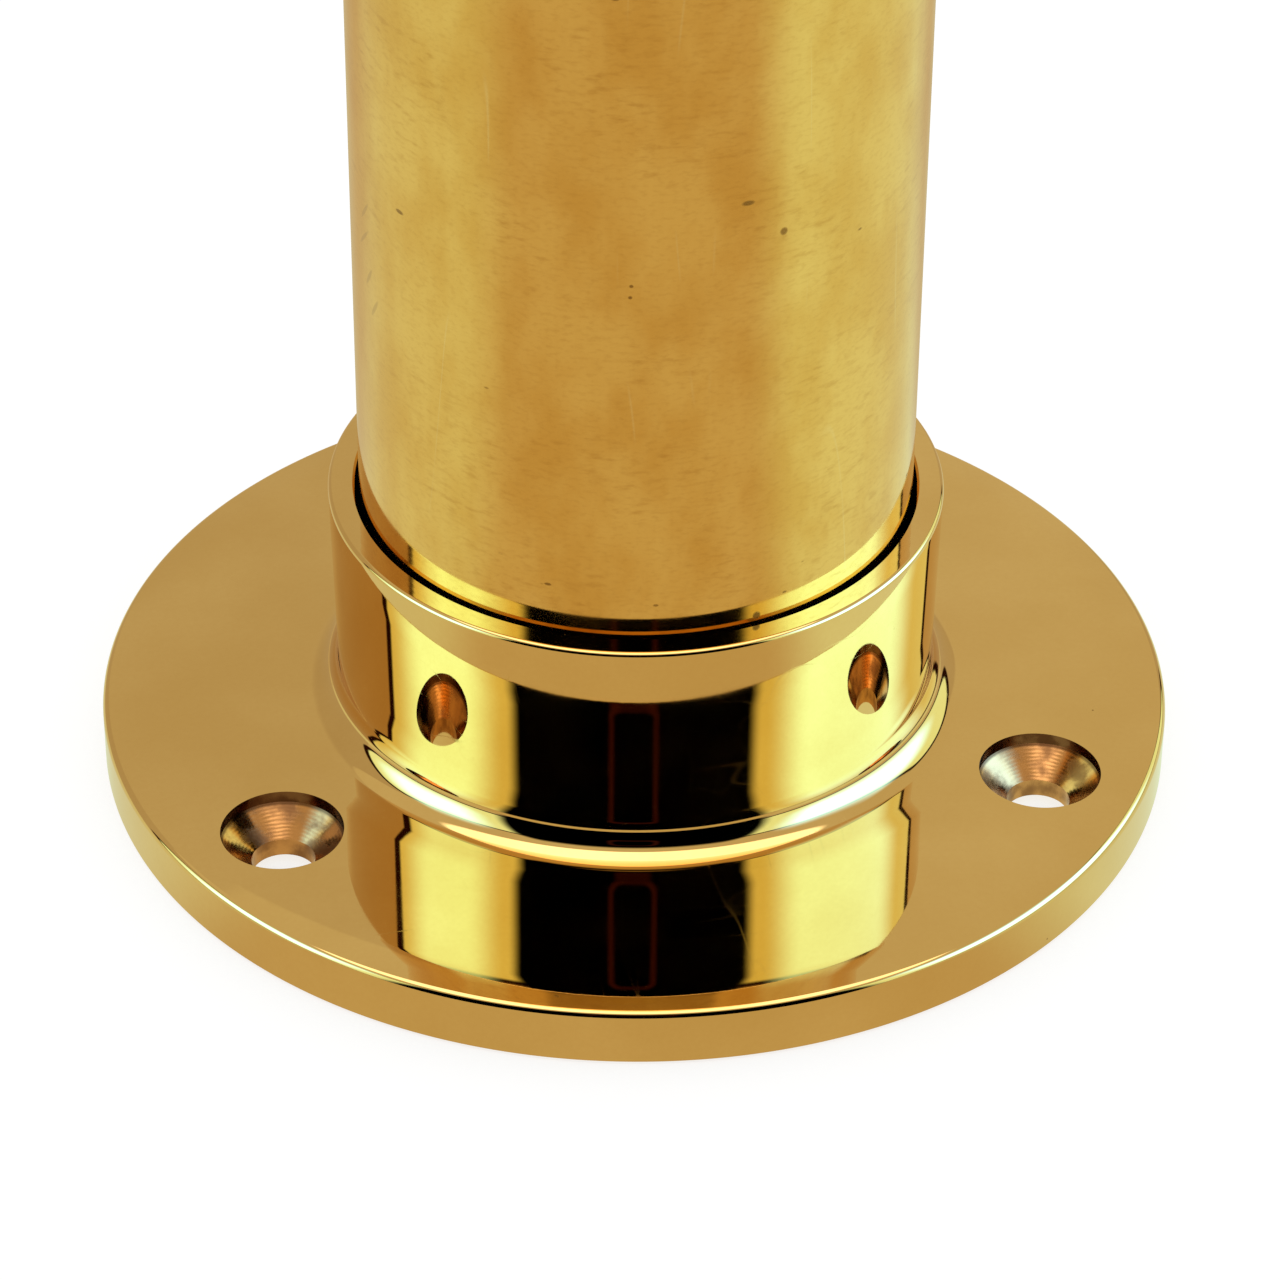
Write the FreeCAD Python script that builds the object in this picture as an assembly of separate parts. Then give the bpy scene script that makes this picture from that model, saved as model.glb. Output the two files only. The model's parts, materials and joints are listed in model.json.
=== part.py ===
import FreeCAD, Part
import math
import os

# Stanchion base: a turned brass deck flange whose collar holds an upright tube with a grub screw.
# Millimetres. The origin is the centre of the underside, and +Z is the axis of the tube.

# Flange plate: its buffed top falls a little from the collar to the edge, in three slopes that blend
FLANGE_RADIUS = 50.0
PLATE_FOOT_HEIGHT = 6.25    # at the collar
PLATE_INNER_RADIUS = 33.0
PLATE_INNER_HEIGHT = 5.92
PLATE_INNER_BLEND = 40.0
PLATE_SHOULDER_RADIUS = 47.0
PLATE_SHOULDER_HEIGHT = 5.65
PLATE_SHOULDER_BLEND = 30.0
PLATE_EDGE_HEIGHT = 5.4
PLATE_EDGE_ROUND = 0.7
PLATE_BOTTOM_ROUND = 0.3
RELIEF_RADIUS = 46.0        # the underside is relieved inside this radius, so the rim seats on the deck
RELIEF_DEPTH = 0.7

# Tube: a standard two-inch size
TUBE_RADIUS = 25.4
TUBE_WALL = 1.6
TUBE_TOP = 120.0
TUBE_END_CHAMFER = 0.3

# Collar and its socket: the outside leans out a little from its foot to its mouth
COLLAR_RADIUS = 28.25       # at the mouth
COLLAR_FOOT_RADIUS = 27.75  # where the side would meet the plate, without the fillet
COLLAR_TOP = 28.0
COLLAR_TOP_ROUND = 0.45
COLLAR_FOOT_FILLET = 3.2
SOCKET_CLEARANCE = 0.4      # radial gap between the tube and the socket
SOCKET_MOUTH_CHAMFER = 0.2
LEDGE_HEIGHT = 5.0          # the tube stands on this ledge
PASSAGE_RADIUS = 22.0       # hole through the ledge, for a cable or a drain

# Deck screw holes, on a circle about the axis
DECK_HOLE_COUNT = 3
DECK_HOLE_FIRST_ANGLE = 90.0
DECK_HOLE_CIRCLE_RADIUS = 40.25
DECK_HOLE_RADIUS = 2.9
HEAD_SEAT_RADIUS = 5.6
HEAD_SEAT_FLOOR = 4.7       # height where the straight wall of the seat meets the countersink
HEAD_SEAT_HALF_ANGLE = 50.0

# Grub screw and its hole: depths run along the axis, inwards from the radius of the mouth
SCREW_ANGLE = 150.0         # at the rear, midway between two deck holes
SCREW_HEIGHT = 17.0
SCREW_HOLE_RADIUS = 2.0
SCREW_CLEARANCE = 0.05      # radial, and it stands for the thread's own play
LEAD_IN_RADIUS = 2.6        # radius of the conical lead-in at depth 0
SCREW_OUTER_END = 0.7
SCREW_POINT_START = 2.1
SCREW_POINT_END = 2.8
SCREW_POINT_RADIUS = 0.8
SCREW_END_CHAMFER = 0.15
SLOT_WIDTH = 0.7
SLOT_DEPTH = 0.7

OVERCUT = 2.0               # how far a cutter runs past the face that it opens


def outline(corners):
    """Closed wire in the XZ plane through corners (radius, height, rounding)."""
    edges = []
    ends = []
    count = len(corners)
    for index, (x, z, rounding) in enumerate(corners):
        corner = FreeCAD.Vector(x, 0, z)
        if rounding == 0:
            ends.append((corner, corner))
            continue
        before = FreeCAD.Vector(corners[index - 1][0], 0, corners[index - 1][1])
        after = FreeCAD.Vector(corners[(index + 1) % count][0], 0, corners[(index + 1) % count][1])
        back = (before - corner).normalize()
        ahead = (after - corner).normalize()
        half_angle = back.getAngle(ahead) / 2
        tangent = rounding / math.tan(half_angle)
        to_middle = rounding / math.sin(half_angle) - rounding
        middle = corner + (back + ahead).normalize() * to_middle
        start = corner + back * tangent
        end = corner + ahead * tangent
        edges.append(Part.Arc(start, middle, end).toShape())
        ends.append((start, end))
    for index in range(count):
        start = ends[index][1]
        end = ends[(index + 1) % count][0]
        edges.append(Part.makeLine(start, end))
    return Part.Wire(Part.__sortEdges__(edges))


def turned(corners):
    """Solid of revolution about Z."""
    face = Part.Face(outline(corners))
    return face.revolve(FreeCAD.Vector(0, 0, 0), FreeCAD.Vector(0, 0, 1), 360)


def around_axis(shape, angle):
    """Copy of a shape, turned about Z by an angle in degrees."""
    copy = shape.copy()
    copy.rotate(FreeCAD.Vector(0, 0, 0), FreeCAD.Vector(0, 0, 1), angle)
    return copy


def base_body():
    """Plate and collar, before the screw holes are drilled."""
    socket_radius = TUBE_RADIUS + SOCKET_CLEARANCE
    return turned([
        (PASSAGE_RADIUS, RELIEF_DEPTH, 0),
        (RELIEF_RADIUS, RELIEF_DEPTH, 0),
        (RELIEF_RADIUS, 0, 0),
        (FLANGE_RADIUS, 0, PLATE_BOTTOM_ROUND),
        (FLANGE_RADIUS, PLATE_EDGE_HEIGHT, PLATE_EDGE_ROUND),
        (PLATE_SHOULDER_RADIUS, PLATE_SHOULDER_HEIGHT, PLATE_SHOULDER_BLEND),
        (PLATE_INNER_RADIUS, PLATE_INNER_HEIGHT, PLATE_INNER_BLEND),
        (COLLAR_FOOT_RADIUS, PLATE_FOOT_HEIGHT, COLLAR_FOOT_FILLET),
        (COLLAR_RADIUS, COLLAR_TOP, COLLAR_TOP_ROUND),
        (socket_radius + SOCKET_MOUTH_CHAMFER, COLLAR_TOP, 0),
        (socket_radius, COLLAR_TOP - SOCKET_MOUTH_CHAMFER, 0),
        (socket_radius, LEDGE_HEIGHT, 0),
        (PASSAGE_RADIUS, LEDGE_HEIGHT, 0),
    ])


def deck_hole_cutter():
    """Countersunk hole with a short straight seat above the cone, at angle 0."""
    cone_depth = (HEAD_SEAT_RADIUS - DECK_HOLE_RADIUS) / math.tan(math.radians(HEAD_SEAT_HALF_ANGLE))
    cutter = turned([
        (0, -OVERCUT, 0),
        (DECK_HOLE_RADIUS, -OVERCUT, 0),
        (DECK_HOLE_RADIUS, HEAD_SEAT_FLOOR - cone_depth, 0),
        (HEAD_SEAT_RADIUS, HEAD_SEAT_FLOOR, 0),
        (HEAD_SEAT_RADIUS, PLATE_FOOT_HEIGHT + OVERCUT, 0),
        (0, PLATE_FOOT_HEIGHT + OVERCUT, 0),
    ])
    cutter.translate(FreeCAD.Vector(DECK_HOLE_CIRCLE_RADIUS, 0, 0))
    return cutter


def on_screw_axis(shape):
    """Move a shape from the Z axis to the axis of the grub screw; local Z points outwards."""
    copy = shape.copy()
    copy.rotate(FreeCAD.Vector(0, 0, 0), FreeCAD.Vector(0, 1, 0), 90)
    copy.translate(FreeCAD.Vector(COLLAR_RADIUS, 0, SCREW_HEIGHT))
    return around_axis(copy, SCREW_ANGLE)


def screw_hole_cutter():
    """Tapped hole with a right-angled conical lead-in."""
    inner_end = TUBE_RADIUS - COLLAR_RADIUS - OVERCUT
    return on_screw_axis(turned([
        (0, inner_end, 0),
        (SCREW_HOLE_RADIUS, inner_end, 0),
        (SCREW_HOLE_RADIUS, SCREW_HOLE_RADIUS - LEAD_IN_RADIUS, 0),
        (LEAD_IN_RADIUS + OVERCUT, OVERCUT, 0),
        (0, OVERCUT, 0),
    ]))


def grub_screw():
    """Slotted headless screw with a cone point."""
    radius = SCREW_HOLE_RADIUS - SCREW_CLEARANCE
    body = turned([
        (0, -SCREW_POINT_END, 0),
        (SCREW_POINT_RADIUS, -SCREW_POINT_END, 0),
        (radius, -SCREW_POINT_START, 0),
        (radius, -SCREW_OUTER_END - SCREW_END_CHAMFER, 0),
        (radius - SCREW_END_CHAMFER, -SCREW_OUTER_END, 0),
        (0, -SCREW_OUTER_END, 0),
    ])
    slot_corner = FreeCAD.Vector(-2 * radius, -SLOT_WIDTH / 2, -SCREW_OUTER_END - SLOT_DEPTH)
    slot = Part.makeBox(4 * radius, SLOT_WIDTH, SLOT_DEPTH + OVERCUT, slot_corner)
    return on_screw_axis(body.cut(slot))


def base_flange():
    """The one-piece casting: plate, collar, deck screw holes and grub screw hole."""
    hole = deck_hole_cutter()
    step = 360.0 / DECK_HOLE_COUNT
    cutters = [around_axis(hole, DECK_HOLE_FIRST_ANGLE + step * index) for index in range(DECK_HOLE_COUNT)]
    return base_body().cut(cutters + [screw_hole_cutter()])


def stanchion_tube():
    """The foot of the upright tube, standing on the ledge of the socket."""
    bore_radius = TUBE_RADIUS - TUBE_WALL
    return turned([
        (bore_radius, LEDGE_HEIGHT, 0),
        (TUBE_RADIUS - TUBE_END_CHAMFER, LEDGE_HEIGHT, 0),
        (TUBE_RADIUS, LEDGE_HEIGHT + TUBE_END_CHAMFER, 0),
        (TUBE_RADIUS, TUBE_TOP - TUBE_END_CHAMFER, 0),
        (TUBE_RADIUS - TUBE_END_CHAMFER, TUBE_TOP, 0),
        (bore_radius, TUBE_TOP, 0),
    ])


def save(node, shape):
    """Write one piece, which has to be one closed solid."""
    solid = shape.Solids[0]
    assert len(shape.Solids) == 1 and solid.isValid(), node
    solid.exportStep("parts/" + node + ".step")


os.makedirs("parts", exist_ok=True)
save("base_flange", base_flange())
save("stanchion_tube", stanchion_tube())
save("grub_screw", grub_screw())
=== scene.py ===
import json
import math

import bmesh
import bpy
import numpy as np
from mathutils import Matrix, Vector


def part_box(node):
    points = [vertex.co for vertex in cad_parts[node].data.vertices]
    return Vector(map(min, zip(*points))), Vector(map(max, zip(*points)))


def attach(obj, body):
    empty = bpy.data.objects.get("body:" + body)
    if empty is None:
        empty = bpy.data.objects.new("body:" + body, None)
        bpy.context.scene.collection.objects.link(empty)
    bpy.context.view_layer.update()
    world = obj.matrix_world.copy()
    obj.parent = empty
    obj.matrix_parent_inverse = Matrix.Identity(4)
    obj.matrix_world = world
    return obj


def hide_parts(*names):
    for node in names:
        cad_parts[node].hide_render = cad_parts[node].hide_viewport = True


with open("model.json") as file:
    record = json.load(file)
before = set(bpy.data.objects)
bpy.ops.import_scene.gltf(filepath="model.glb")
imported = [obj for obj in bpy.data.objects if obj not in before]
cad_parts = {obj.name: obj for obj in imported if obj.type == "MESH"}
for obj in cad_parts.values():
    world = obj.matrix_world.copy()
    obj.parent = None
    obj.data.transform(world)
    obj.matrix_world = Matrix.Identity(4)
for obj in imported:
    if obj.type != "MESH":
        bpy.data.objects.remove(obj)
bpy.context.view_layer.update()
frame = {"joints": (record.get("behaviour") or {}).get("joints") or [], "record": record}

# Stanchion base: a polished brass deck flange, the foot of its tube, and the grub screw that holds it.
# Everything is in metres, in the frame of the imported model. MM turns millimetres into metres.
MM = 0.001

mounts = {mount["name"]: mount for mount in frame["record"]["mounts"]}

# Sizes read from the frame
flange_low, flange_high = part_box("base_flange")
tube_low, tube_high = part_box("stanchion_tube")
FLANGE_RADIUS = flange_high.x
COLLAR_TOP = flange_high.z
TUBE_RADIUS = tube_high.x
TUBE_TOP = tube_high.z
LEDGE_HEIGHT = tube_low.z
TUBE_BORE_RADIUS = mounts["tube_bore"]["dims"]["r_mm"] * MM
DECK_HOLE_CIRCLE_RADIUS = mounts["deck_screws"]["dims"]["pcd_mm"] * MM / 2
DECK_HOLE_COUNT = mounts["deck_screws"]["dims"]["count"]
DECK_HOLE_RADIUS = mounts["deck_screws"]["dims"]["hole_r_mm"] * MM
SCREW_AXIS = Vector(next(joint["axis"] for joint in frame["joints"] if joint["name"] == "back_out_screw"))

# Sizes that the design gives
PLATE_FOOT_HEIGHT = 6.25 * MM
PLATE_INNER_RADIUS = 33.0 * MM
PLATE_INNER_HEIGHT = 5.92 * MM
PLATE_INNER_BLEND = 40.0 * MM
PLATE_SHOULDER_RADIUS = 47.0 * MM
PLATE_SHOULDER_HEIGHT = 5.65 * MM
PLATE_SHOULDER_BLEND = 30.0 * MM
PLATE_EDGE_HEIGHT = 5.4 * MM
PLATE_EDGE_ROUND = 0.7 * MM
PLATE_BOTTOM_ROUND = 0.3 * MM
RELIEF_RADIUS = 46.0 * MM
RELIEF_DEPTH = 0.7 * MM
COLLAR_RADIUS = 28.25 * MM
COLLAR_FOOT_RADIUS = 27.75 * MM
COLLAR_TOP_ROUND = 0.45 * MM
COLLAR_FOOT_FILLET = 3.2 * MM
SOCKET_RADIUS = 25.8 * MM
SOCKET_MOUTH_CHAMFER = 0.2 * MM
PASSAGE_RADIUS = 22.0 * MM
TUBE_END_CHAMFER = 0.3 * MM
DECK_HOLE_FIRST_ANGLE = 90.0
HEAD_SEAT_RADIUS = 5.6 * MM
HEAD_SEAT_FLOOR = 4.7 * MM
HEAD_SEAT_HALF_ANGLE = 50.0
SCREW_HEIGHT = 17.0 * MM
SCREW_HOLE_RADIUS = 2.0 * MM
SCREW_CLEARANCE = 0.05 * MM
LEAD_IN_RADIUS = 2.6 * MM
SCREW_OUTER_END = 0.7 * MM
SCREW_POINT_START = 2.1 * MM
SCREW_POINT_END = 2.8 * MM
SCREW_POINT_RADIUS = 0.8 * MM
SCREW_END_CHAMFER = 0.15 * MM
SLOT_WIDTH = 0.7 * MM
SLOT_DEPTH = 0.7 * MM
OVERCUT = 2.0 * MM

# Tool marks
RIM_RING_PITCH = 0.6 * MM
SEAT_RING_PITCH = 0.28 * MM
THREAD_PITCH = 0.7 * MM

# Stains on the tube: bearing in degrees from the front (-Y) towards +X, height, half width in degrees,
# half height
TUBE_STAINS = [
    (13.0, 70.8 * MM, 1.6, 0.3 * MM),
    (20.6, 67.3 * MM, 1.0, 0.45 * MM),
    (-9.2, 63.7 * MM, 0.5, 0.2 * MM),
    (-9.4, 62.6 * MM, 0.5, 0.2 * MM),
    (-60.8, 64.8 * MM, 1.5, 0.25 * MM),
    (16.8, 28.6 * MM, 1.0, 0.5 * MM),
]

# Scratches on the tube: bearing, height, and lean towards -X in degrees for each millimetre upwards
TUBE_SCRATCHES = [
    (-76.0, 61.5 * MM, -1.8),
    (-77.0, 58.6 * MM, -2.2),
    (-74.5, 55.2 * MM, -1.5),
    (-72.0, 52.6 * MM, -1.5),
]
SCRATCH_HALF_WIDTH = 0.8    # degrees
SCRATCH_HALF_HEIGHT = 1.3 * MM

# Colours, as linear red, green, blue and alpha
BUFFED_LIGHT = (0.87, 0.585, 0.235, 1)
BUFFED_DEEP = (0.81, 0.525, 0.195, 1)
BUFFED_GRAIN = (0.72, 0.43, 0.14, 1)
PIT_COLOUR = (0.30, 0.15, 0.04, 1)
SEAT_CLEAN = (0.66, 0.31, 0.11, 1)
SEAT_DIRTY = (0.30, 0.13, 0.05, 1)
# Painted shade: the dark colour laid on the upright wall of the deck screw seats
SEAT_WALL_PAINTED_SHADE = (0.12, 0.05, 0.02, 1)
THREAD_CLEAN = (0.55, 0.34, 0.14, 1)
THREAD_DIRTY = (0.22, 0.12, 0.05, 1)
TUBE_LIGHT = (0.91, 0.58, 0.18, 1)
TUBE_TARNISH = (0.81, 0.46, 0.115, 1)
TUBE_STREAK = (0.66, 0.36, 0.08, 1)
TUBE_GRAIN = (0.55, 0.28, 0.06, 1)
TUBE_RUBBED = (0.52, 0.24, 0.045, 1)
TUBE_SPECK = (0.28, 0.13, 0.03, 1)
TUBE_HAIRLINE = (0.93, 0.70, 0.36, 1)
TUBE_SCRATCH = (0.45, 0.24, 0.07, 1)
SCREW_DULL = (0.38, 0.22, 0.09, 1)
SCREW_WORN = (0.72, 0.46, 0.19, 1)

# Finishes of the base, in the order of its materials
BUFFED, SEAT, TAPPED = range(3)

# Fineness of the turned surfaces
LATHE_STEPS = 512
DRILL_STEPS = 96
ARC_STEP = math.radians(5)
ON_AXIS = 1e-9              # a point nearer to the axis than this is on it

# The camera: its bearing is measured from the front (-Y) towards +X. The lens is in millimetres, as is
# the sensor, and the clip is in metres.
VIEW_BEARING = math.radians(-8.15)
CAMERA_OUT = 372.2 * MM
CAMERA_HEIGHT = 275.3 * MM
TARGET_HEIGHT = 9.4 * MM
TARGET_SHIFT = 0.5 * MM
CAMERA_ROLL = math.radians(0.477)
LENS = 136.9
SENSOR = 36.0
CAMERA_CLIP_START = 0.01

# The floor, and the studio that the polished brass reflects
FLOOR_RADIUS = 3.0
FLOOR_HEIGHT = -0.2 * MM
FLOOR_COLOUR = (0.3, 0.3, 0.3, 1)
FLOOR_GLOW = 0.75
DISC_STEPS = 96
DOME_RADIUS = 0.7
DOME_SEGMENTS = 64
DOME_RINGS = 48
TABLE_HEIGHT = -0.1 * MM
WALL_RADIANCE = (0.645, 0.60, 0.42)
TABLE_RADIANCE = (0.62, 0.53, 0.31)

# Brighter pools on the table: bearings and edge softness in degrees, and radiance
TABLE_POOLS = [
    ((-115, -66), 24, (0.73, 0.78, 0.54)),
    ((62, 125), 24, (0.78, 0.90, 0.66)),
]

# Panels on the dome: bearings from the camera's side and elevations, corner rounding and edge softness,
# all in degrees, and radiance. Each is laid over the ones before it.
PANELS = [
    ((-180, -104), (-5, 45), 0, 2, (0.38, 0.30, 0.20)),
    ((-230, -158), (-5, 90), 0, 26, WALL_RADIANCE),
    ((141, 158), (-5, 28), 0, 6, (0.44, 0.37, 0.26)),
    ((-180, 180), (62, 95), 0, 4, (3.6, 3.6, 3.5)),
    ((-106.5, -34), (4, 44.5), 8, 1.2, (0.02, 0.005, 0.002)),
    ((34, 143.5), (4, 44.5), 8, 1.2, (0.02, 0.005, 0.002)),
    ((-103.5, -34), (6, 42.5), 8, 1.5, (1.0, 1.35, 1.0)),
    ((34, 140.5), (6, 42.5), 8, 1.5, (1.0, 1.35, 1.0)),
    ((-94, -58), (12, 43), 10, 18, (1.42, 3.2, 5.2)),
    ((60, 120), (12, 43), 10, 20, (1.45, 3.5, 7.0)),
    ((-46, 46), (-5, 49), 10, 6, (0.0, 0.0, 0.0)),
    ((-9, 9), (26, 42), 4, 2, (0.035, 0.008, 0.006)),
    ((-7.5, 7.5), (28, 41), 4, 2, (0.0, 0.0, 0.0)),
]


# ---------------------------------------------------------------- turned shapes

def outline(corners):
    """Points and unit outward normals of a closed profile through corners (radius, height, rounding).

    The corners run so that the solid lies on their left. Each piece of the profile is a list of
    (point, normal) pairs, so that the edge between two pieces stays sharp."""
    count = len(corners)
    spans = []
    for index, (radius, height, rounding) in enumerate(corners):
        corner = Vector((radius, height))
        back = (Vector(corners[index - 1][:2]) - corner).normalized()
        ahead = (Vector(corners[(index + 1) % count][:2]) - corner).normalized()
        if rounding == 0:
            spans.append((corner, corner, None))
            continue
        half_angle = back.angle(ahead) / 2
        centre = corner + (back + ahead).normalized() * rounding / math.sin(half_angle)
        reach = rounding / math.tan(half_angle)
        spans.append((corner + back * reach, corner + ahead * reach, centre))
    pieces = []
    for index in range(count):
        start, end, centre = spans[index]
        if centre is not None:
            pieces.append(arc_piece(start, end, centre))
        line_start, line_end = end, spans[(index + 1) % count][0]
        along = (line_end - line_start).normalized()
        normal = Vector((along.y, -along.x))
        pieces.append([(line_start, normal), (line_end, normal)])
    return pieces


def arc_piece(start, end, centre):
    """The rounding of one corner as points with normals, outwards from the solid."""
    first = start - centre
    last = end - centre
    turn = first.angle_signed(last)
    steps = max(2, math.ceil(abs(turn) / ARC_STEP))
    side = 1 if turn < 0 else -1
    points = []
    for step in range(steps + 1):
        spoke = first.copy()
        spoke.rotate(Matrix.Rotation(-turn * step / steps, 2))
        points.append((centre + spoke, spoke.normalized() * side))
    return points


def turned_mesh(name, pieces, steps):
    """Closed mesh of a profile turned about Z."""
    ring = []
    for piece in pieces:
        ring.extend(point for point, _ in piece[:-1])
    angles = [2 * math.pi * step / steps for step in range(steps)]
    on_axis = [point.x < ON_AXIS for point in ring]
    first_vertex = []
    vertices = []
    for point, single in zip(ring, on_axis):
        first_vertex.append(len(vertices))
        turns = [0.0] if single else angles
        vertices.extend((point.x * math.cos(a), point.x * math.sin(a), point.y) for a in turns)
    faces = []
    for index in range(len(ring)):
        after = (index + 1) % len(ring)
        if on_axis[index] and on_axis[after]:
            continue
        for step in range(steps):
            following = (step + 1) % steps
            a = first_vertex[index] + (0 if on_axis[index] else step)
            b = first_vertex[index] + (0 if on_axis[index] else following)
            c = first_vertex[after] + (0 if on_axis[after] else following)
            d = first_vertex[after] + (0 if on_axis[after] else step)
            face = [a, b, c, d]
            faces.append([v for i, v in enumerate(face) if v != face[i - 1]])
    mesh = bpy.data.meshes.new(name)
    mesh.from_pydata(vertices, [], faces)
    mesh.validate()
    mesh.update()
    return mesh


class Surface:
    """A turned surface: its profile, its place, which way it faces, and the number of its material."""

    def __init__(self, pieces, place=None, facing=1, finish=0):
        self.pieces = pieces
        self.place = place or Matrix.Identity(4)
        self.facing = facing
        self.finish = finish


def local_points(points, place):
    """Radius, height and the turn (cosine, sine) of points about the axis of a place."""
    inverse = np.array(place.inverted())
    local = points @ inverse[:3, :3].T + inverse[:3, 3]
    radius = np.hypot(local[:, 0], local[:, 1])
    safe = np.maximum(radius, ON_AXIS)
    return radius, local[:, 2], local[:, 0] / safe, local[:, 1] / safe


def distance_to_run(radius, height, start, end):
    """Distance of points to one run of a profile, and the share of the run where each comes nearest."""
    along = end - start
    share = ((radius - start.x) * along.x + (height - start.y) * along.y) / along.length_squared
    share = np.clip(share, 0, 1)
    gap = np.hypot(radius - start.x - share * along.x, height - start.y - share * along.y)
    return gap, share


def distance_to_piece(radius, height, piece):
    """Distance of points to one piece of a profile."""
    best = np.full(len(radius), np.inf)
    for (start, _), (end, _) in zip(piece[:-1], piece[1:]):
        gap, _ = distance_to_run(radius, height, start, end)
        best = np.minimum(best, gap)
    return best


def normals_on_piece(radius, height, piece):
    """Profile normals at points, taken between the two nearest points of the piece."""
    best = np.full(len(radius), np.inf)
    result = np.zeros((len(radius), 2))
    for (start, start_normal), (end, end_normal) in zip(piece[:-1], piece[1:]):
        gap, share = distance_to_run(radius, height, start, end)
        blend = np.outer(1 - share, start_normal) + np.outer(share, end_normal)
        closer = gap < best
        best[closer] = gap[closer]
        result[closer] = blend[closer]
    return result / np.linalg.norm(result, axis=1, keepdims=True)


def values_of(elements, name, width=1, kind=float):
    """One property of every element of a mesh, as an array."""
    values = np.empty(len(elements) * width, kind)
    elements.foreach_get(name, values)
    return values.reshape(-1, width) if width > 1 else values


def owners(centres, surfaces):
    """The surface, and the piece of its profile, that each face lies on."""
    best = np.full(len(centres), np.inf)
    owner = np.zeros((len(centres), 2), int)
    for surface_index, surface in enumerate(surfaces):
        radius, height, _, _ = local_points(centres, surface.place)
        for piece_index, piece in enumerate(surface.pieces):
            gap = distance_to_piece(radius, height, piece)
            closer = gap < best
            best[closer] = gap[closer]
            owner[closer] = (surface_index, piece_index)
    return owner


def normals_at(points, surface, piece):
    """Normals of a turned surface at points on one piece of its profile."""
    radius, height, cosine, sine = local_points(points, surface.place)
    flat = normals_on_piece(radius, height, piece)
    local = np.column_stack([flat[:, 0] * cosine, flat[:, 0] * sine, flat[:, 1]])
    return surface.facing * local @ np.array(surface.place.to_3x3()).T


def true_normals(mesh, surfaces):
    """Give each face the exact normals and the finish of the turned surface that it lies on."""
    vertices = values_of(mesh.vertices, "co", 3)
    owner = owners(values_of(mesh.polygons, "center", 3), surfaces)
    corner_vertex = values_of(mesh.loops, "vertex_index", kind=int)
    sizes = values_of(mesh.polygons, "loop_total", kind=int)
    face_of_corner = np.repeat(np.arange(len(sizes)), sizes)
    normals = np.zeros((len(corner_vertex), 3))
    finishes = np.zeros(len(sizes), int)
    for surface_index, surface in enumerate(surfaces):
        for piece_index, piece in enumerate(surface.pieces):
            mine = (owner[:, 0] == surface_index) & (owner[:, 1] == piece_index)
            finishes[mine] = surface.finish
            corners = np.nonzero(mine[face_of_corner])[0]
            if len(corners) > 0:
                normals[corners] = normals_at(vertices[corner_vertex[corners]], surface, piece)
    mesh.polygons.foreach_set("material_index", finishes)
    mesh.polygons.foreach_set("use_smooth", np.ones(len(sizes), bool))
    mesh.normals_split_custom_set(normals.tolist())
    mesh.update()


def scene_object(name, data):
    """Put a mesh or a camera in the scene."""
    made = bpy.data.objects.new(name, data)
    bpy.context.scene.collection.objects.link(made)
    return made


def cut(body, cutters):
    """Take cutters out of a mesh object with exact booleans, and remove them."""
    for cutter in cutters:
        modifier = body.modifiers.new("cut", "BOOLEAN")
        modifier.operation = "DIFFERENCE"
        modifier.solver = "EXACT"
        modifier.object = cutter
    bpy.context.view_layer.update()
    evaluated = body.evaluated_get(bpy.context.evaluated_depsgraph_get())
    mesh = bpy.data.meshes.new_from_object(evaluated)
    body.modifiers.clear()
    body.data = mesh
    for cutter in cutters:
        bpy.data.objects.remove(cutter)


# ---------------------------------------------------------------- places

def about_axis(angle):
    """Turn about Z by an angle in degrees."""
    return Matrix.Rotation(math.radians(angle), 4, "Z")


def deck_hole_places():
    """Where the deck screw holes stand, on their circle."""
    step = 360.0 / DECK_HOLE_COUNT
    out = Matrix.Translation((DECK_HOLE_CIRCLE_RADIUS, 0, 0))
    return [about_axis(DECK_HOLE_FIRST_ANGLE + step * index) @ out for index in range(DECK_HOLE_COUNT)]


def screw_place():
    """Where the grub screw stands: local Z runs out along its axis, from the radius of the mouth."""
    across = Vector((0, 0, 1)).cross(SCREW_AXIS)
    place = Matrix((Vector((0, 0, -1)), across, SCREW_AXIS)).transposed().to_4x4()
    place.translation = SCREW_AXIS * COLLAR_RADIUS + Vector((0, 0, SCREW_HEIGHT))
    return place


# ---------------------------------------------------------------- materials

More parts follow.
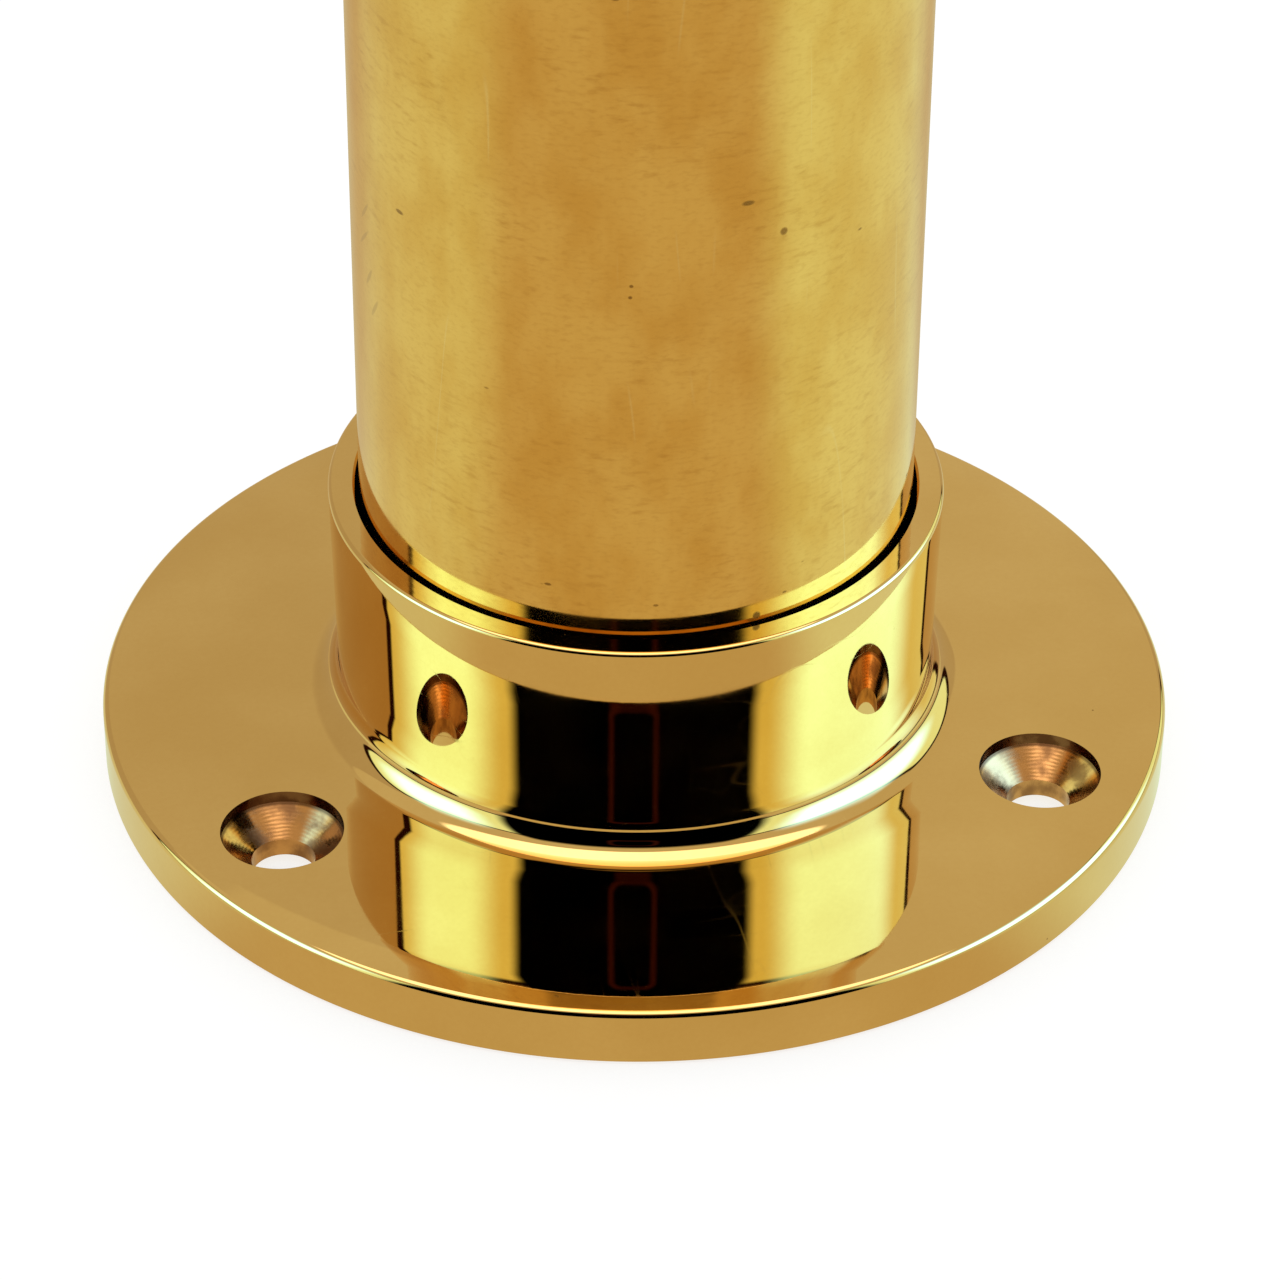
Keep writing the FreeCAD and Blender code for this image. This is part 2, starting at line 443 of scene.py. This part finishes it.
class Graph:
    """Short calls that build a material's nodes."""

    def __init__(self, material):
        material.use_nodes = True
        self.tree = material.node_tree

    def node(self, kind, **settings):
        """New node, with its settings by name."""
        made = self.tree.nodes.new(kind)
        for name, value in settings.items():
            setattr(made, name, value)
        return made

    def feed(self, socket, value):
        """Link an output to a socket, or set the socket's own number or colour."""
        if isinstance(value, bpy.types.NodeSocket):
            self.tree.links.new(value, socket)
        else:
            socket.default_value = value

    def math(self, operation, *values):
        """Arithmetic on outputs and numbers."""
        made = self.node("ShaderNodeMath", operation=operation)
        for socket, value in zip(made.inputs, values):
            self.feed(socket, value)
        return made.outputs[0]

    def length(self, x, y):
        """Root of the sum of two squares."""
        squares = self.math("ADD", self.math("MULTIPLY", x, x), self.math("MULTIPLY", y, y))
        return self.math("SQRT", squares)

    def ripple(self, value, pitch):
        """Wave from -1 to 1 that repeats with a pitch."""
        return self.math("SINE", self.math("MULTIPLY", value, 2 * math.pi / pitch))

    def smooth_range(self, value, low, high, start=0.0, end=1.0):
        """Smooth step from start to end, as a value goes from low to high."""
        made = self.node("ShaderNodeMapRange", interpolation_type="SMOOTHSTEP")
        for socket, given in zip(made.inputs, (value, low, high, start, end)):
            self.feed(socket, given)
        return made.outputs[0]

    def mix(self, share, first, second):
        """Colour with a share of the second in it, from 0 to 1."""
        made = self.node("ShaderNodeMix", data_type="RGBA")
        self.feed(made.inputs["Factor"], share)
        self.feed(made.inputs[6], first)
        self.feed(made.inputs[7], second)
        return made.outputs[2]

    def position(self):
        """The object's own x, y and z, in metres."""
        split = self.node("ShaderNodeSeparateXYZ")
        self.feed(split.inputs[0], self.node("ShaderNodeTexCoord").outputs["Object"])
        return split.outputs

    def bearing(self, x, y):
        """Degrees from the front (-Y) towards +X."""
        return self.math("DEGREES", self.math("ARCTAN2", x, self.math("MULTIPLY", y, -1.0)))

    def scaled(self, vector, stretch):
        """Coordinates multiplied along each axis."""
        mapping = self.node("ShaderNodeMapping", vector_type="POINT")
        self.feed(mapping.inputs["Vector"], vector)
        self.feed(mapping.inputs["Scale"], stretch)
        return mapping.outputs[0]

    def noise(self, feature, detail=2.0, stretch=(1, 1, 1), vector=None):
        """Noise from 0 to 1 with features of about the size given, in metres."""
        vector = vector or self.node("ShaderNodeTexCoord").outputs["Object"]
        made = self.node("ShaderNodeTexNoise")
        self.feed(made.inputs["Vector"], self.scaled(vector, stretch))
        self.feed(made.inputs["Scale"], 1 / feature)
        self.feed(made.inputs["Detail"], detail)
        return made.outputs["Fac"]

    def specks(self, spacing, size, share, stretch=(1, 1, 1), vector=None):
        """Small round marks, 1 inside and 0 outside, in a share of the cells of a random grid."""
        vector = vector or self.node("ShaderNodeTexCoord").outputs["Object"]
        cells = self.node("ShaderNodeTexVoronoi")
        self.feed(cells.inputs["Vector"], self.scaled(vector, stretch))
        self.feed(cells.inputs["Scale"], 1 / spacing)
        tint = self.node("ShaderNodeSeparateColor")
        self.feed(tint.inputs[0], cells.outputs["Color"])
        chosen = self.math("LESS_THAN", tint.outputs[0], share)
        edge = size / spacing
        return self.math("MULTIPLY", chosen, self.smooth_range(cells.outputs["Distance"], edge, edge / 2))

    def hairlines(self, feature, width, stretch, vector=None):
        """Thin lines where a stretched noise passes its middle value."""
        away = self.math("ABSOLUTE", self.math("SUBTRACT", self.noise(feature, 1.0, stretch, vector), 0.5))
        return self.smooth_range(away, width, 0.0)

    def bump(self, height, depth, normal=None):
        """Relief that rises by a depth in metres as its height goes up by 1."""
        made = self.node("ShaderNodeBump")
        self.feed(made.inputs["Distance"], depth)
        self.feed(made.inputs["Height"], height)
        if normal:
            self.feed(made.inputs["Normal"], normal)
        return made.outputs[0]


def brass_material(name):
    """Metal node material, with the graph that builds it and its shader."""
    material = bpy.data.materials.new(name)
    graph = Graph(material)
    shader = graph.tree.nodes["Principled BSDF"]
    shader.inputs["Metallic"].default_value = 1.0
    return material, graph, shader


def polished_brass():
    """Buffed casting: mirror bright, with soft haze, faint waves, hairline scratches and a few pits."""
    material, graph, shader = brass_material("polished_brass")
    x, y, z = graph.position()
    tone = graph.smooth_range(graph.noise(16 * MM, 3.0), 0.3, 0.7)
    grain = graph.noise(0.5 * MM, 3.0)
    pits = graph.specks(3.2 * MM, 0.13 * MM, 0.035)
    colour = graph.mix(tone, BUFFED_LIGHT, BUFFED_DEEP)
    colour = graph.mix(graph.math("MULTIPLY", grain, 0.32), colour, BUFFED_GRAIN)
    colour = graph.mix(graph.math("MULTIPLY", pits, 0.8), colour, PIT_COLOUR)
    graph.feed(shader.inputs["Base Color"], colour)
    haze = graph.smooth_range(graph.noise(9 * MM, 4.0), 0.35, 0.75, 0.018, 0.05)
    lines = graph.hairlines(7 * MM, 0.004, (1, 0.06, 1))
    lines = graph.math("MAXIMUM", lines, graph.hairlines(9 * MM, 0.003, (0.08, 1, 1)))
    lines = graph.math("MULTIPLY", lines, graph.smooth_range(graph.noise(11 * MM), 0.5, 0.65))
    rough = graph.math("ADD", haze, graph.math("MULTIPLY", lines, 0.10))
    graph.feed(shader.inputs["Roughness"], graph.math("ADD", rough, graph.math("MULTIPLY", pits, 0.3)))
    on_rim = graph.math("GREATER_THAN", z, COLLAR_TOP - COLLAR_TOP_ROUND / 3)
    rings = graph.math("MULTIPLY", graph.ripple(graph.length(x, y), RIM_RING_PITCH), on_rim)
    waves = graph.bump(graph.noise(14 * MM, 1.0), 0.004 * MM)
    grained = graph.bump(grain, 0.00025 * MM, waves)
    graph.feed(shader.inputs["Normal"], graph.bump(rings, 0.0002 * MM, grained))
    return material


def seat_brass():
    """Countersinks as the cutter left them: duller, with rings of tool marks and old dirt, and painted
    shade darkening the upright wall at the edge of each seat.
    """
    material, graph, shader = brass_material("machined_seat_brass")
    x, y, _ = graph.position()
    nearest = None
    for place in deck_hole_places():
        along = graph.math("SUBTRACT", x, place.translation.x)
        aside = graph.math("SUBTRACT", y, place.translation.y)
        away = graph.length(along, aside)
        nearest = graph.math("MINIMUM", nearest, away) if nearest else away
    wander = graph.math("MULTIPLY", graph.noise(1.5 * MM), 0.3 * MM)
    rings = graph.ripple(graph.math("ADD", nearest, wander), SEAT_RING_PITCH)
    dirt = graph.smooth_range(graph.noise(2.2 * MM, 4.0), 0.35, 0.7)
    # Painted shade: the colour darkens on the upright wall at the edge of each seat, as shade inside the
    # hole would
    wall = graph.smooth_range(nearest, HEAD_SEAT_RADIUS - 0.3 * MM, HEAD_SEAT_RADIUS - 0.1 * MM)
    colour = graph.mix(dirt, SEAT_CLEAN, SEAT_DIRTY)
    colour = graph.mix(graph.math("MULTIPLY", wall, 0.85), colour, SEAT_WALL_PAINTED_SHADE)
    graph.feed(shader.inputs["Base Color"], colour)
    graph.feed(shader.inputs["Roughness"], graph.smooth_range(dirt, 0.0, 1.0, 0.13, 0.34))
    graph.feed(shader.inputs["Normal"], graph.bump(rings, 0.0008 * MM))
    return material


def tapped_brass():
    """Wall of the tapped hole: dark, with the turns of the thread along it."""
    material, graph, shader = brass_material("tapped_brass")
    x, y, _ = graph.position()
    across, out = graph.math("MULTIPLY", x, SCREW_AXIS.x), graph.math("MULTIPLY", y, SCREW_AXIS.y)
    along = graph.math("ADD", across, out)
    dirt = graph.smooth_range(graph.noise(0.8 * MM, 3.0), 0.35, 0.7)
    graph.feed(shader.inputs["Base Color"], graph.mix(dirt, THREAD_CLEAN, THREAD_DIRTY))
    graph.feed(shader.inputs["Roughness"], graph.smooth_range(dirt, 0.0, 1.0, 0.25, 0.5))
    graph.feed(shader.inputs["Normal"], graph.bump(graph.ripple(along, THREAD_PITCH), 0.03 * MM))
    return material


def unrolled(graph, bearing, height):
    """The surface of the tube laid out flat, in metres round it and up it."""
    flat = graph.node("ShaderNodeCombineXYZ")
    graph.feed(flat.inputs[0], graph.math("MULTIPLY", bearing, math.radians(TUBE_RADIUS)))
    graph.feed(flat.inputs[1], height)
    return flat.outputs[0]


def spot(graph, bearing, height, place, middle, across, upright):
    """One mark on a turned surface: 1 at its middle and 0 beyond its half width and half height."""
    aside = graph.math("DIVIDE", graph.math("SUBTRACT", bearing, place), across)
    above = graph.math("DIVIDE", graph.math("SUBTRACT", height, middle), upright)
    squares = graph.math("ADD", graph.math("MULTIPLY", aside, aside), graph.math("MULTIPLY", above, above))
    return graph.smooth_range(squares, 1.0, 0.2)


def tube_tarnish(graph, mottle, streaks, flat):
    """Colour of the tube without its marks: mottled, streaked, grained, and rubbed dark in patches."""
    grain = graph.smooth_range(graph.noise(0.5 * MM, 3.0, (0.7, 1.3, 1), flat), 0.45, 0.75)
    rubbed = graph.smooth_range(graph.noise(1.0 * MM, 5.0, (0.5, 1.5, 1), flat), 0.48, 0.78)
    patches = graph.smooth_range(graph.noise(12 * MM, 3.0, (1, 1, 1), flat), 0.40, 0.62)
    rubbed = graph.math("MULTIPLY", graph.math("MULTIPLY", rubbed, patches), 0.42)
    colour = graph.mix(mottle, TUBE_LIGHT, TUBE_TARNISH)
    colour = graph.mix(graph.math("MULTIPLY", streaks, 0.14), colour, TUBE_STREAK)
    colour = graph.mix(graph.math("MULTIPLY", grain, 0.20), colour, TUBE_GRAIN)
    return graph.mix(rubbed, colour, TUBE_RUBBED)


def tube_specks(graph, bearing, height, flat):
    """Dark marks on the tube: scattered specks, fine ones just above the collar, and the stains."""
    foot = graph.smooth_range(height, COLLAR_TOP + 9 * MM, COLLAR_TOP + 1 * MM)
    fine = graph.specks(1.1 * MM, 0.17 * MM, 0.18, (0.55, 1, 1), flat)
    specks = graph.specks(2.6 * MM, 0.20 * MM, 0.06, (0.45, 1, 1), flat)
    specks = graph.math("MAXIMUM", specks, graph.math("MULTIPLY", fine, foot))
    for place, middle, across, upright in TUBE_STAINS:
        stain = spot(graph, bearing, height, place, middle, across, upright)
        specks = graph.math("MAXIMUM", specks, stain)
    return specks


def tube_hairlines(graph, flat):
    """Fine bright scratches along the tube, in patches."""
    lines = graph.hairlines(9 * MM, 0.006, (1, 0.10, 1), flat)
    patch = graph.smooth_range(graph.noise(14 * MM, 1.0, (1, 1, 1), flat), 0.52, 0.62)
    return graph.math("MULTIPLY", lines, patch)


def tube_scratches(graph, bearing, height):
    """The leaning scratches at one side of the tube."""
    scratches = 0.0
    for place, middle, lean in TUBE_SCRATCHES:
        shift = graph.math("MULTIPLY", graph.math("SUBTRACT", height, middle), lean / MM)
        line = graph.math("ADD", bearing, shift)
        mark = spot(graph, line, height, place, middle, SCRATCH_HALF_WIDTH, SCRATCH_HALF_HEIGHT)
        scratches = graph.math("MAXIMUM", scratches, mark)
    return scratches


def drawn_brass():
    """Tube: bright, with drawing streaks along it, a mottled tarnish, small stains and scratches."""
    material, graph, shader = brass_material("drawn_brass")
    x, y, z = graph.position()
    bearing = graph.bearing(x, y)
    flat = unrolled(graph, bearing, z)
    mottle = graph.smooth_range(graph.noise(7 * MM, 6.0, (1, 0.55, 1), flat), 0.36, 0.66)
    streaks = graph.noise(0.7 * MM, 2.0, (1, 0.02, 1), flat)
    specks = tube_specks(graph, bearing, z, flat)
    hairlines = tube_hairlines(graph, flat)
    scratches = tube_scratches(graph, bearing, z)
    colour = tube_tarnish(graph, mottle, streaks, flat)
    colour = graph.mix(graph.math("MULTIPLY", specks, 0.8), colour, TUBE_SPECK)
    colour = graph.mix(graph.math("MULTIPLY", hairlines, 0.30), colour, TUBE_HAIRLINE)
    colour = graph.mix(graph.math("MULTIPLY", scratches, 0.45), colour, TUBE_SCRATCH)
    graph.feed(shader.inputs["Base Color"], colour)
    rough = graph.smooth_range(mottle, 0.0, 1.0, 0.07, 0.12)
    rough = graph.math("ADD", rough, graph.math("MULTIPLY", hairlines, 0.12))
    graph.feed(shader.inputs["Roughness"], graph.math("ADD", rough, graph.math("MULTIPLY", specks, 0.3)))
    waves = graph.bump(graph.noise(12 * MM, 2.0, (1, 0.4, 1), flat), 0.006 * MM)
    graph.feed(shader.inputs["Normal"], graph.bump(streaks, 0.0004 * MM, waves))
    return material


def screw_brass():
    """Grub screw: turned and dulled, bright where the driver has rubbed it."""
    material, graph, shader = brass_material("screw_brass")
    worn = graph.smooth_range(graph.noise(0.9 * MM, 3.0), 0.4, 0.65)
    graph.feed(shader.inputs["Base Color"], graph.mix(worn, SCREW_DULL, SCREW_WORN))
    graph.feed(shader.inputs["Roughness"], graph.smooth_range(worn, 0.0, 1.0, 0.45, 0.22))
    graph.feed(shader.inputs["Normal"], graph.bump(graph.noise(0.3 * MM, 3.0), 0.01 * MM))
    return material


# ---------------------------------------------------------------- pieces

def base_profile():
    """Profile of the plate and the collar."""
    return outline([
        (PASSAGE_RADIUS, RELIEF_DEPTH, 0),
        (RELIEF_RADIUS, RELIEF_DEPTH, 0),
        (RELIEF_RADIUS, 0, 0),
        (FLANGE_RADIUS, 0, PLATE_BOTTOM_ROUND),
        (FLANGE_RADIUS, PLATE_EDGE_HEIGHT, PLATE_EDGE_ROUND),
        (PLATE_SHOULDER_RADIUS, PLATE_SHOULDER_HEIGHT, PLATE_SHOULDER_BLEND),
        (PLATE_INNER_RADIUS, PLATE_INNER_HEIGHT, PLATE_INNER_BLEND),
        (COLLAR_FOOT_RADIUS, PLATE_FOOT_HEIGHT, COLLAR_FOOT_FILLET),
        (COLLAR_RADIUS, COLLAR_TOP, COLLAR_TOP_ROUND),
        (SOCKET_RADIUS + SOCKET_MOUTH_CHAMFER, COLLAR_TOP, 0),
        (SOCKET_RADIUS, COLLAR_TOP - SOCKET_MOUTH_CHAMFER, 0),
        (SOCKET_RADIUS, LEDGE_HEIGHT, 0),
        (PASSAGE_RADIUS, LEDGE_HEIGHT, 0),
    ])


def deck_hole_profile():
    """Profile of the cutter for a countersunk hole, with a short straight seat above the cone."""
    cone_depth = (HEAD_SEAT_RADIUS - DECK_HOLE_RADIUS) / math.tan(math.radians(HEAD_SEAT_HALF_ANGLE))
    return outline([
        (0, -OVERCUT, 0),
        (DECK_HOLE_RADIUS, -OVERCUT, 0),
        (DECK_HOLE_RADIUS, HEAD_SEAT_FLOOR - cone_depth, 0),
        (HEAD_SEAT_RADIUS, HEAD_SEAT_FLOOR, 0),
        (HEAD_SEAT_RADIUS, PLATE_FOOT_HEIGHT + OVERCUT, 0),
        (0, PLATE_FOOT_HEIGHT + OVERCUT, 0),
    ])


def screw_hole_profile():
    """Profile of the cutter for the tapped hole, with its conical lead-in."""
    inner_end = -(COLLAR_RADIUS - TUBE_RADIUS + OVERCUT)
    return outline([
        (0, inner_end, 0),
        (SCREW_HOLE_RADIUS, inner_end, 0),
        (SCREW_HOLE_RADIUS, SCREW_HOLE_RADIUS - LEAD_IN_RADIUS, 0),
        (LEAD_IN_RADIUS + OVERCUT, OVERCUT, 0),
        (0, OVERCUT, 0),
    ])


def hole_cutter(hole):
    """Cutter that leaves a turned surface as the wall of a hole."""
    cutter = scene_object("cutter", turned_mesh("cutter", hole.pieces, DRILL_STEPS))
    cutter.data.transform(hole.place)
    return cutter


def make_base():
    """The plate and its collar, with the deck screw holes and the grub screw hole."""
    profile = base_profile()
    deck_profile = deck_hole_profile()
    base = scene_object("polished_base", turned_mesh("polished_base", profile, LATHE_STEPS))
    holes = [Surface(deck_profile, place, facing=-1, finish=SEAT) for place in deck_hole_places()]
    holes.append(Surface(screw_hole_profile(), screw_place(), facing=-1, finish=TAPPED))
    cut(base, [hole_cutter(hole) for hole in holes])
    base.data.materials.clear()
    for material in (polished_brass(), seat_brass(), tapped_brass()):
        base.data.materials.append(material)
    true_normals(base.data, [Surface(profile, finish=BUFFED)] + holes)
    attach(base, "base")
    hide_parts("base_flange")


def make_tube():
    """The foot of the upright tube, open at both ends."""
    profile = outline([
        (TUBE_BORE_RADIUS, LEDGE_HEIGHT, 0),
        (TUBE_RADIUS - TUBE_END_CHAMFER, LEDGE_HEIGHT, 0),
        (TUBE_RADIUS, LEDGE_HEIGHT + TUBE_END_CHAMFER, 0),
        (TUBE_RADIUS, TUBE_TOP - TUBE_END_CHAMFER, 0),
        (TUBE_RADIUS - TUBE_END_CHAMFER, TUBE_TOP, 0),
        (TUBE_BORE_RADIUS, TUBE_TOP, 0),
    ])
    tube = scene_object("drawn_tube", turned_mesh("drawn_tube", profile, LATHE_STEPS))
    tube.data.materials.append(drawn_brass())
    true_normals(tube.data, [Surface(profile)])
    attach(tube, "tube")
    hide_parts("stanchion_tube")


def make_grub_screw():
    """Slotted headless screw with a cone point."""
    radius = SCREW_HOLE_RADIUS - SCREW_CLEARANCE
    profile = outline([
        (0, -SCREW_POINT_END, 0),
        (SCREW_POINT_RADIUS, -SCREW_POINT_END, 0),
        (radius, -SCREW_POINT_START, 0),
        (radius, -SCREW_OUTER_END - SCREW_END_CHAMFER, 0),
        (radius - SCREW_END_CHAMFER, -SCREW_OUTER_END, 0),
        (0, -SCREW_OUTER_END, 0),
    ])
    screw = scene_object("slotted_screw", turned_mesh("slotted_screw", profile, DRILL_STEPS))
    cut(screw, [slot_cutter(radius)])
    screw.data.materials.clear()
    screw.data.materials.append(screw_brass())
    screw.data.transform(screw_place())
    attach(screw, "screw")
    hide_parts("grub_screw")


def slot_cutter(radius):
    """Box that cuts the screwdriver slot."""
    corners = [
        (x * 2 * radius, y * SLOT_WIDTH / 2, z)
        for z in (-SCREW_OUTER_END - SLOT_DEPTH, OVERCUT)
        for y in (-1, 1)
        for x in (-1, 1)
    ]
    faces = [(0, 2, 3, 1), (4, 5, 7, 6), (0, 1, 5, 4), (2, 6, 7, 3), (0, 4, 6, 2), (1, 3, 7, 5)]
    mesh = bpy.data.meshes.new("slot")
    mesh.from_pydata(corners, [], faces)
    return scene_object("slot", mesh)


# ---------------------------------------------------------------- studio

def from_camera(bearing, out, height=0.0):
    """Point at a bearing from the camera's own side, positive to the picture's right."""
    angle = VIEW_BEARING + math.radians(bearing)
    return Vector((math.sin(angle) * out, -math.cos(angle) * out, height))


def only_in_reflections(sheet):
    """Hide a sheet from everything but the mirror reflections of other things."""
    sheet.visible_camera = False
    sheet.visible_diffuse = False
    sheet.visible_shadow = False
    sheet.visible_transmission = False


def light_material(name):
    """Material with an empty graph, for a sheet that only gives light."""
    material = bpy.data.materials.new(name)
    graph = Graph(material)
    graph.tree.nodes.clear()
    return material, graph


def give_light(graph, radiance):
    """End a graph in light of a radiance."""
    emission = graph.node("ShaderNodeEmission")
    graph.feed(emission.inputs["Color"], radiance)
    output = graph.node("ShaderNodeOutputMaterial")
    graph.feed(output.inputs["Surface"], emission.outputs[0])


def panel_excess(graph, value, limits, rounding):
    """How far a value lies beyond the straight part of a rounded panel, and never under zero."""
    middle = sum(limits) / 2
    half = (limits[1] - limits[0]) / 2 - rounding
    away = graph.math("ABSOLUTE", graph.math("SUBTRACT", value, middle))
    return graph.math("MAXIMUM", graph.math("SUBTRACT", away, half), 0.0)


def dome_material():
    """Walls, soft boxes and dark gaps, by bearing and elevation."""
    material, graph = light_material("studio_dome")
    x, y, z = graph.position()
    bearing = graph.bearing(x, y)
    elevation = graph.math("DEGREES", graph.math("ARCTAN2", z, graph.length(x, y)))
    radiance = (*WALL_RADIANCE, 1)
    for bearings, elevations, rounding, softness, colour in PANELS:
        across = panel_excess(graph, bearing, bearings, rounding)
        upright = panel_excess(graph, elevation, elevations, rounding)
        outside = graph.math("SUBTRACT", graph.length(across, upright), rounding)
        share = graph.smooth_range(outside, softness / 2, -softness / 2)
        radiance = graph.mix(share, radiance, (*colour, 1))
    give_light(graph, radiance)
    return material


def make_dome():
    """Sphere about the object, seen only in its reflections."""
    mesh = bpy.data.meshes.new("studio_dome")
    shell = bmesh.new()
    bmesh.ops.create_uvsphere(shell, u_segments=DOME_SEGMENTS, v_segments=DOME_RINGS, radius=DOME_RADIUS)
    shell.to_mesh(mesh)
    shell.free()
    dome = scene_object("studio_dome", mesh)
    dome.rotation_euler.z = VIEW_BEARING
    mesh.materials.append(dome_material())
    only_in_reflections(dome)


def disc(name, radius, height, material):
    """Flat round sheet, such as the floor."""
    mesh = bpy.data.meshes.new(name)
    angles = [2 * math.pi * step / DISC_STEPS for step in range(DISC_STEPS)]
    rim = [(radius * math.cos(a), radius * math.sin(a), height) for a in angles]
    mesh.from_pydata(rim, [], [range(DISC_STEPS)])
    sheet = scene_object(name, mesh)
    sheet.data.materials.append(material)
    return sheet


def make_floor():
    """Pale floor that the camera sees, and the brass doesn't reflect."""
    material = bpy.data.materials.new("floor")
    shader = Graph(material).tree.nodes["Principled BSDF"]
    shader.inputs["Base Color"].default_value = FLOOR_COLOUR
    shader.inputs["Specular IOR Level"].default_value = 0.0
    shader.inputs["Roughness"].default_value = 1.0
    shader.inputs["Emission Color"].default_value = (1, 1, 1, 1)
    shader.inputs["Emission Strength"].default_value = FLOOR_GLOW
    floor = disc("floor", FLOOR_RADIUS, FLOOR_HEIGHT, material)
    floor.visible_glossy = False


def make_table():
    """Tan table under the object, seen only in its reflections."""
    material, graph = light_material("table_card")
    x, y, _ = graph.position()
    bearing = graph.bearing(x, y)
    radiance = (*TABLE_RADIANCE, 1)
    for limits, softness, colour in TABLE_POOLS:
        outside = panel_excess(graph, bearing, limits, 0)
        radiance = graph.mix(graph.smooth_range(outside, softness, 0.0), radiance, (*colour, 1))
    give_light(graph, radiance)
    table = disc("table_card", DOME_RADIUS, TABLE_HEIGHT, material)
    table.rotation_euler.z = VIEW_BEARING
    only_in_reflections(table)


def make_studio():
    """White surroundings, the floor, and what the brass reflects."""
    world = bpy.data.worlds.new("studio")
    bpy.context.scene.world = world
    world.use_nodes = True
    world.node_tree.nodes["Background"].inputs["Color"].default_value = (1, 1, 1, 1)
    make_floor()
    make_table()
    make_dome()


def make_camera():
    """Camera in front of the base and above it, looking down at its foot."""
    data = bpy.data.cameras.new("camera")
    data.lens = LENS
    data.sensor_width = SENSOR
    data.clip_start = CAMERA_CLIP_START
    camera = scene_object("camera", data)
    aside = from_camera(90, TARGET_SHIFT)
    place = from_camera(0, CAMERA_OUT, CAMERA_HEIGHT) + aside
    target = Vector((0, 0, TARGET_HEIGHT)) + aside
    look = (target - place).to_track_quat("-Z", "Y").to_matrix().to_4x4()
    camera.matrix_world = Matrix.Translation(place) @ look @ Matrix.Rotation(CAMERA_ROLL, 4, "Z")
    bpy.context.scene.camera = camera


make_base()
make_tube()
make_grub_screw()
make_studio()
make_camera()
bpy.context.scene.view_settings.view_transform = "Standard"
